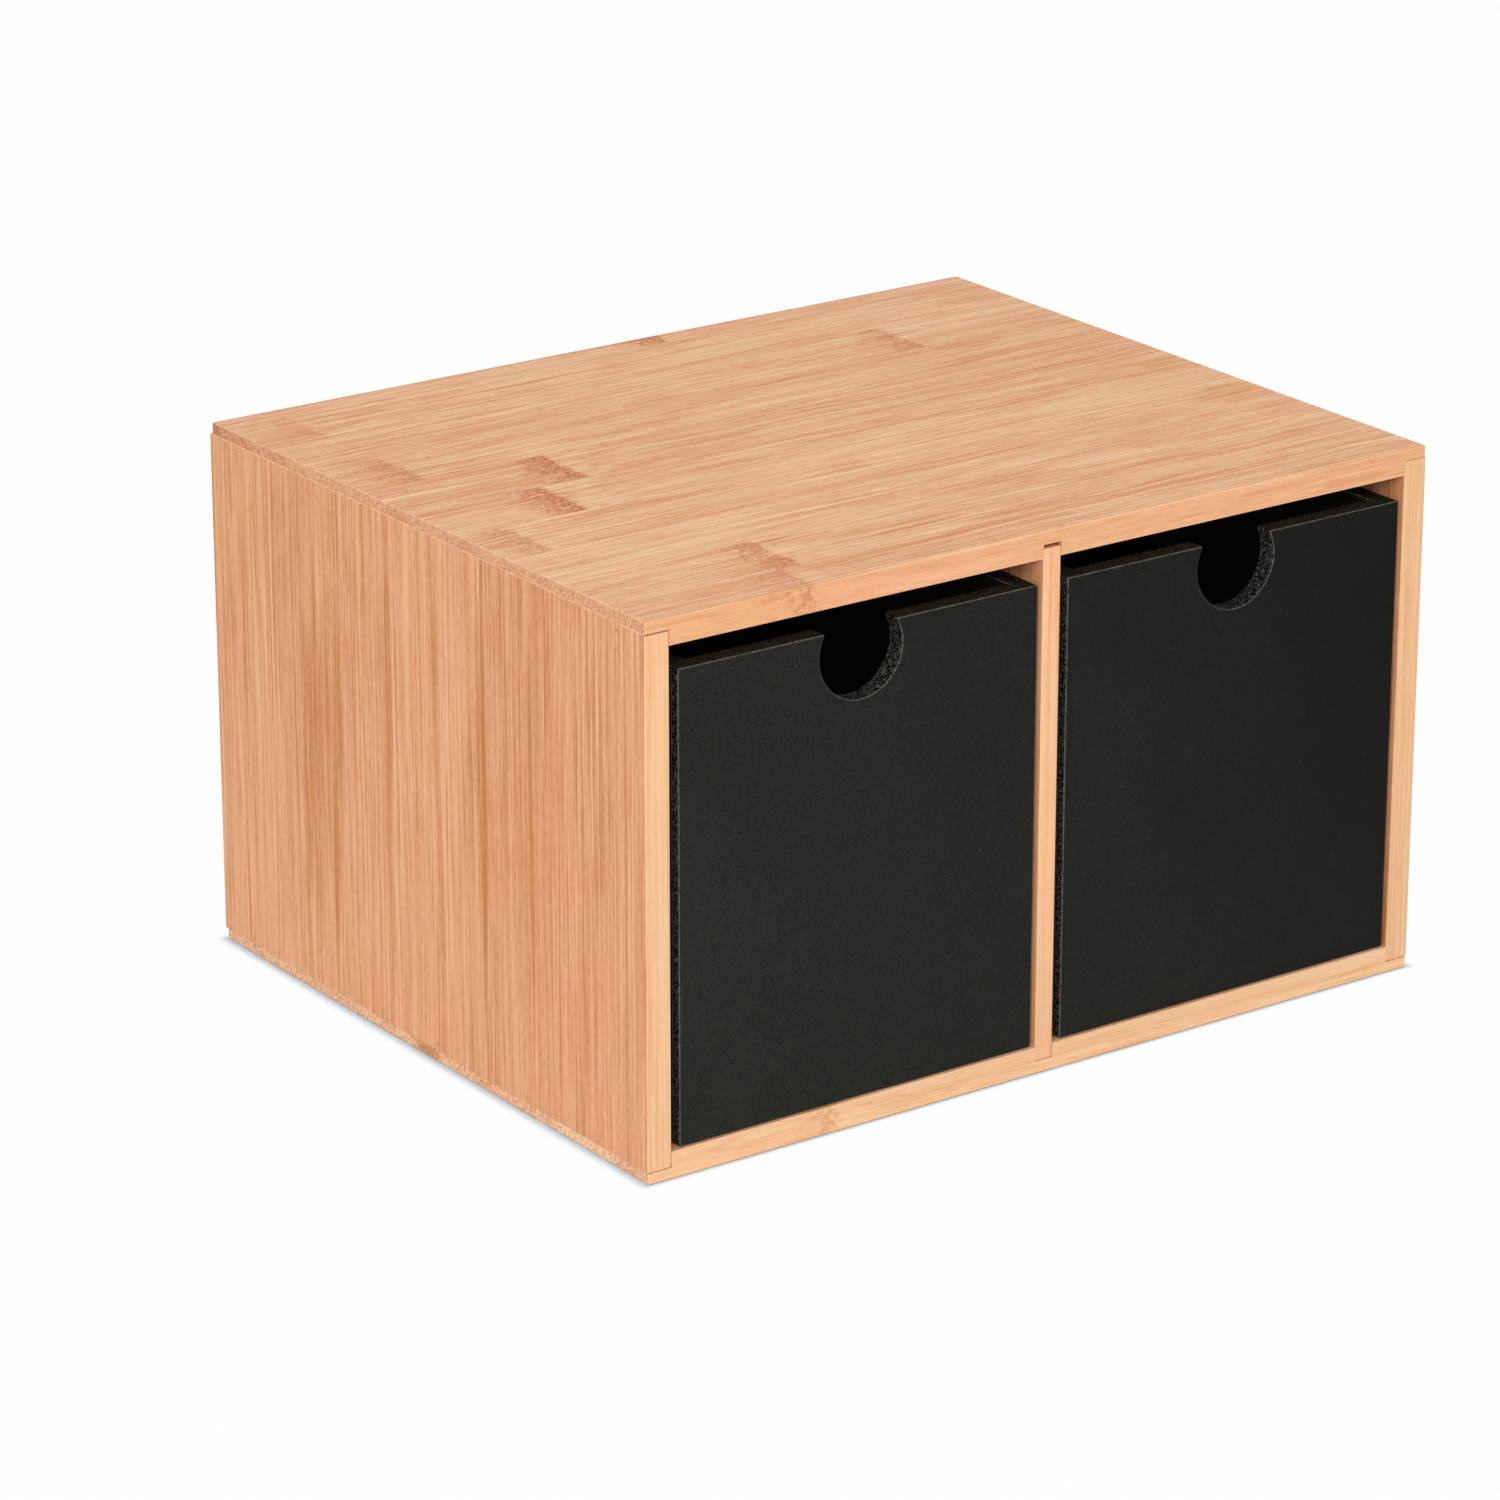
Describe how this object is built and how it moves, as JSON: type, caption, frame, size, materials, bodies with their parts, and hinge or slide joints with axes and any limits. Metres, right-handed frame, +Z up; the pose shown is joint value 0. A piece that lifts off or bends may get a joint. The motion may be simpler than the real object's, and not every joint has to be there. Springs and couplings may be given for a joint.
{
  "type": "desk drawer organizer",
  "caption": "Low bamboo desk chest, open at the front, with an upright divider and black drawers side by side, each pulled by a round finger notch in the top edge of its front.",
  "frame": {"origin": "centre of the case's footprint, on the surface it stands on", "axes": "+X to the right of someone facing the drawers, +Y from the front to the back, +Z up"},
  "size_m": [0.245, 0.2, 0.145],
  "materials": {
    "bamboo": "clear-coated pale bamboo, satin, long fine grain with brown node marks",
    "black_fibreboard": "fibreboard painted matt black, rougher on its cut edges",
    "steel": "thin headless pins, dull"
  },
  "bodies": {
    "case": {"top_board": "bamboo", "bottom_board": "bamboo", "left_side_board": "bamboo", "right_side_board": "bamboo", "divider": "bamboo", "back_panel": "black_fibreboard", "left_side_pins": "steel", "right_side_pins": "steel", "back_panel_pins": "steel"},
    "left_drawer": {"left_drawer_front": "black_fibreboard", "left_drawer_left_side": "black_fibreboard", "left_drawer_right_side": "black_fibreboard", "left_drawer_back": "black_fibreboard", "left_drawer_bottom": "black_fibreboard", "left_drawer_pins": "steel"},
    "right_drawer": {"right_drawer_front": "black_fibreboard", "right_drawer_left_side": "black_fibreboard", "right_drawer_right_side": "black_fibreboard", "right_drawer_back": "black_fibreboard", "right_drawer_bottom": "black_fibreboard", "right_drawer_pins": "steel"}
  },
  "joints": [
    {"name": "left_drawer_slide", "type": "slide", "parent": "case", "child": "left_drawer", "axis": [0, -1, 0], "range_m": [0, 0.15]},
    {"name": "right_drawer_slide", "type": "slide", "parent": "case", "child": "right_drawer", "axis": [0, -1, 0], "range_m": [0, 0.15]}
  ]
}
